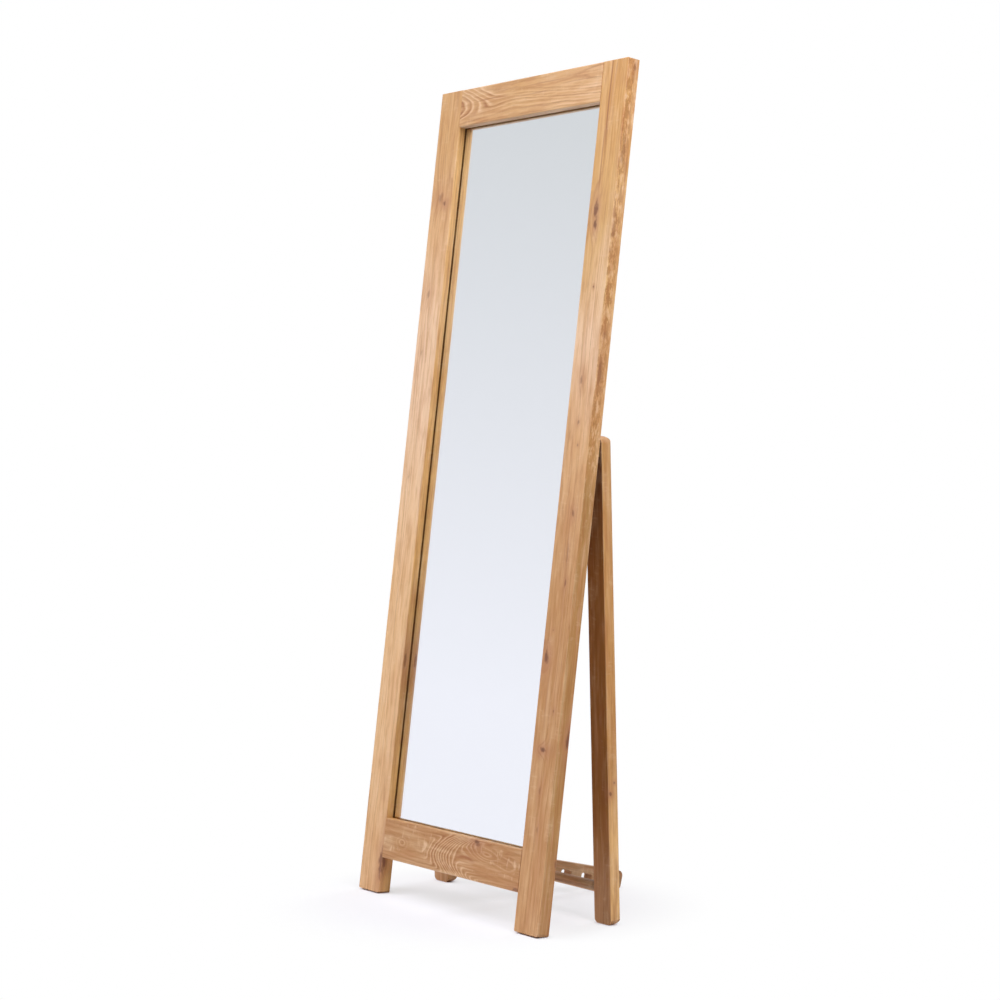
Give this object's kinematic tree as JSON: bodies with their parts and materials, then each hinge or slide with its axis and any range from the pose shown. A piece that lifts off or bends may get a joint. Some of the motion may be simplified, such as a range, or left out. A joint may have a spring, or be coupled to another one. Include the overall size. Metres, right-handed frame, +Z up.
{
  "type": "cheval mirror",
  "caption": "Full-length oak-framed mirror that leans back on a folding rear stand held open by a notched stay.",
  "frame": {"origin": "on the floor, under the middle of the whole object's box", "axes": "+X to the right of someone facing the mirror, +Y backwards from the mirror to the stand, +Z up"},
  "size_m": [0.591, 0.4284, 1.5902],
  "materials": {
    "oak": "clear satin lacquer on rustic oak",
    "mirror": "silvered float glass",
    "fibreboard": "smooth brown hardboard",
    "foam": "white packing foam",
    "rubber": "matt black",
    "brass": "brass-plated steel",
    "zinc": "bright zinc plate"
  },
  "bodies": {
    "frame": {"left_stile": "oak", "right_stile": "oak", "top_rail": "oak", "bottom_rail": "oak", "mirror_glass": "mirror", "setting_blocks": "rubber", "foam_sheet": "foam", "backing_board": "fibreboard", "retaining_clips": "zinc", "clip_screws": "zinc", "left_hinge_frame_leaf": "brass", "right_hinge_frame_leaf": "brass", "left_hinge_pin": "zinc", "right_hinge_pin": "zinc", "stand_hinge_frame_screws": "brass", "stay_hinge_rail_leaf": "brass", "stay_hinge_pin": "zinc", "stay_hinge_rail_screws": "brass"},
    "stand": {"left_leg": "oak", "right_leg": "oak", "cross_dowel": "oak", "left_hinge_leg_leaf": "brass", "right_hinge_leg_leaf": "brass", "stand_hinge_leg_screws": "brass"},
    "stay": {"notched_stay": "oak", "stay_hinge_bar_leaf": "brass", "stay_hinge_bar_screws": "brass"}
  },
  "joints": [
    {"name": "stand_fold", "type": "hinge", "parent": "frame", "child": "stand", "pos_m": [0, -0.06681, 0.89123], "axis": [-1, 0, 0], "range_deg": [0, 9]},
    {"name": "stay_lift", "type": "hinge", "parent": "frame", "child": "stay", "pos_m": [0, -0.16594, 0.13005], "axis": [1, 0, 0], "range_deg": [0, 95.4]}
  ],
  "couplings": [
    {"joint": "stay_lift", "follows": "stand_fold", "ratio": 10.6}
  ]
}
